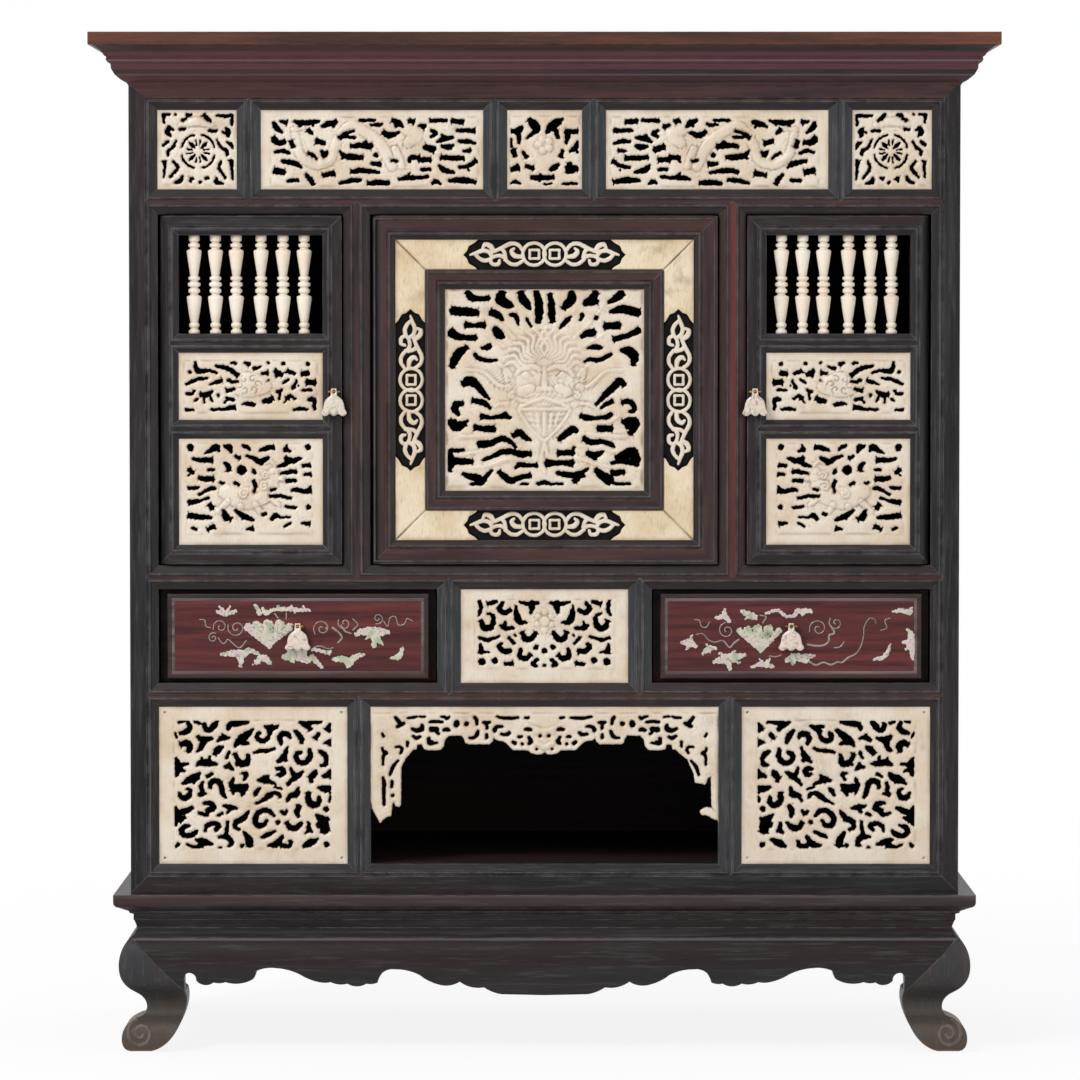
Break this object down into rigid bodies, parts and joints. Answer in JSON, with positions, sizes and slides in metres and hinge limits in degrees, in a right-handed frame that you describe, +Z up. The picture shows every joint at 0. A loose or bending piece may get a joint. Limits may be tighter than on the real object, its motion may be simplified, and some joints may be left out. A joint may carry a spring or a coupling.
{
  "type": "table cabinet",
  "caption": "Dark wood table cabinet on a scroll-footed stand, with pierced bone panels, spindled doors, a square centre door, inlaid drawers and an open niche.",
  "frame": {"origin": "middle of the footprint, on the floor", "axes": "+Z up, the front faces -Y, +X to the right seen from the front"},
  "size_m": [0.543, 0.2374, 0.6117],
  "materials": {
    "dark_red_wood": "satin lacquer",
    "worn_top_wood": "worn lacquer",
    "ebonised_wood": "satin lacquer",
    "case_wood": "plain",
    "rosewood": "polished",
    "bone": "polished",
    "mother_of_pearl": "polished",
    "brass_wire": "aged"
  },
  "bodies": {
    "case": {"stand_ledge": "ebonised_wood", "stand_waist": "ebonised_wood", "apron_front": "dark_red_wood", "apron_back": "ebonised_wood", "apron_sides": "ebonised_wood", "legs_front": "ebonised_wood", "legs_back": "ebonised_wood", "case_bottom": "case_wood", "case_side_left": "ebonised_wood", "case_side_right": "ebonised_wood", "case_back": "case_wood", "case_top": "case_wood", "niche_shelf": "case_wood", "drawer_shelf": "case_wood", "cupboard_top": "case_wood", "dividers": "case_wood", "cornice_moulding": "dark_red_wood", "top_board": "worn_top_wood", "stile_left": "ebonised_wood", "stile_right": "ebonised_wood", "rail_top": "dark_red_wood", "rail_frieze": "dark_red_wood", "rail_door": "dark_red_wood", "rail_drawer": "dark_red_wood", "rail_bottom": "dark_red_wood", "muntins_frieze": "ebonised_wood", "muntins_doors": "ebonised_wood", "muntins_drawers": "ebonised_wood", "muntins_niche": "ebonised_wood", "frieze_panels_outer": "bone", "frieze_panels_wide": "bone", "frieze_panel_centre": "bone", "drawer_row_panel": "bone", "lower_panels": "bone", "niche_valance": "bone"},
    "left_door": {"left_door_frame": "ebonised_wood", "left_door_spindles": "bone", "left_door_panels": "bone", "left_door_staple": "brass_wire"},
    "left_door_drop": {"left_door_pull": "mother_of_pearl"},
    "right_door": {"right_door_frame": "ebonised_wood", "right_door_spindles": "bone", "right_door_panels": "bone", "right_door_staple": "brass_wire"},
    "right_door_drop": {"right_door_pull": "mother_of_pearl"},
    "centre_door": {"centre_door_frame": "dark_red_wood", "centre_door_band": "bone", "centre_door_frets": "bone", "centre_door_inner_frame": "dark_red_wood", "centre_door_panel": "bone"},
    "left_drawer": {"left_drawer_box": "case_wood", "left_drawer_front": "rosewood", "left_drawer_inlay": "mother_of_pearl", "left_drawer_staple": "brass_wire"},
    "left_drawer_drop": {"left_drawer_pull": "mother_of_pearl"},
    "right_drawer": {"right_drawer_box": "case_wood", "right_drawer_front": "rosewood", "right_drawer_inlay": "mother_of_pearl", "right_drawer_staple": "brass_wire"},
    "right_drawer_drop": {"right_drawer_pull": "mother_of_pearl"}
  },
  "joints": [
    {"name": "left_door_hinge", "type": "hinge", "parent": "case", "child": "left_door", "pos_m": [-0.2237, -0.08775, 0.3985], "axis": [0, 0, -1], "range_deg": [0, 90]},
    {"name": "right_door_hinge", "type": "hinge", "parent": "case", "child": "right_door", "pos_m": [0.2237, -0.08775, 0.3985], "axis": [0, 0, 1], "range_deg": [0, 90]},
    {"name": "centre_door_hinge", "type": "hinge", "parent": "case", "child": "centre_door", "pos_m": [-0.0963, -0.08775, 0.3985], "axis": [0, 0, -1], "range_deg": [0, 90]},
    {"name": "left_door_pull_swing", "type": "hinge", "parent": "left_door", "child": "left_door_drop", "pos_m": [-0.1262, -0.09885, 0.3976], "axis": [-1, 0, 0], "range_deg": [0, 80]},
    {"name": "right_door_pull_swing", "type": "hinge", "parent": "right_door", "child": "right_door_drop", "pos_m": [0.1262, -0.09885, 0.3976], "axis": [-1, 0, 0], "range_deg": [0, 80]},
    {"name": "left_drawer_slide", "type": "slide", "parent": "case", "child": "left_drawer", "axis": [0, -1, 0], "range_m": [0, 0.14]},
    {"name": "left_drawer_pull_swing", "type": "hinge", "parent": "left_drawer", "child": "left_drawer_drop", "pos_m": [-0.14825, -0.09745, 0.2566], "axis": [-1, 0, 0], "range_deg": [0, 80]},
    {"name": "right_drawer_slide", "type": "slide", "parent": "case", "child": "right_drawer", "axis": [0, -1, 0], "range_m": [0, 0.14]},
    {"name": "right_drawer_pull_swing", "type": "hinge", "parent": "right_drawer", "child": "right_drawer_drop", "pos_m": [0.14825, -0.09745, 0.2566], "axis": [-1, 0, 0], "range_deg": [0, 80]}
  ]
}
